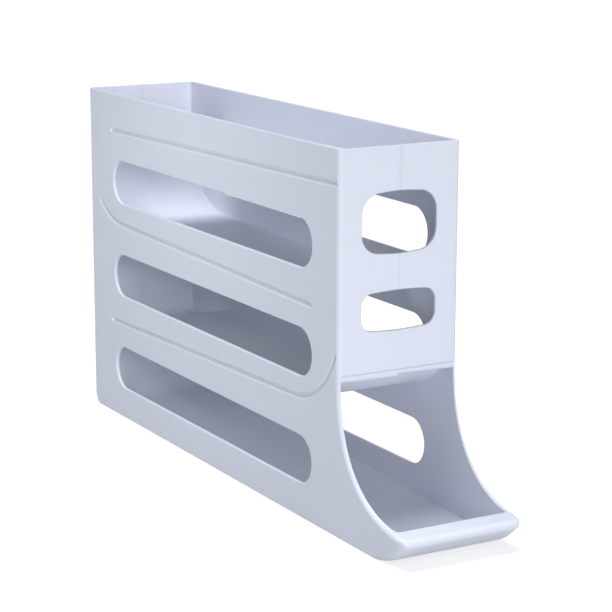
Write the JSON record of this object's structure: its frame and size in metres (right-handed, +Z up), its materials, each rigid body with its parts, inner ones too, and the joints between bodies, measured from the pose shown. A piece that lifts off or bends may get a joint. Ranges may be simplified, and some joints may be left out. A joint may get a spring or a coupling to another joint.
{
  "type": "rolling egg dispenser",
  "caption": "Slim upright egg dispenser: slotted side walls, sloping lanes that roll eggs from an open top to an open front tray.",
  "frame": {"origin": "centre of the bounding box at the flat bottom that the dispenser stands on", "axes": "+Z up, +Y towards the closed back wall, the open tray faces -Y, +X across the width"},
  "size_m": [0.081, 0.4126, 0.2258],
  "materials": {
    "white_plastic": "smooth moulded, semi-gloss"
  },
  "bodies": {
    "root": {"left_shell": "white_plastic", "right_shell": "white_plastic"}
  },
  "joints": []
}
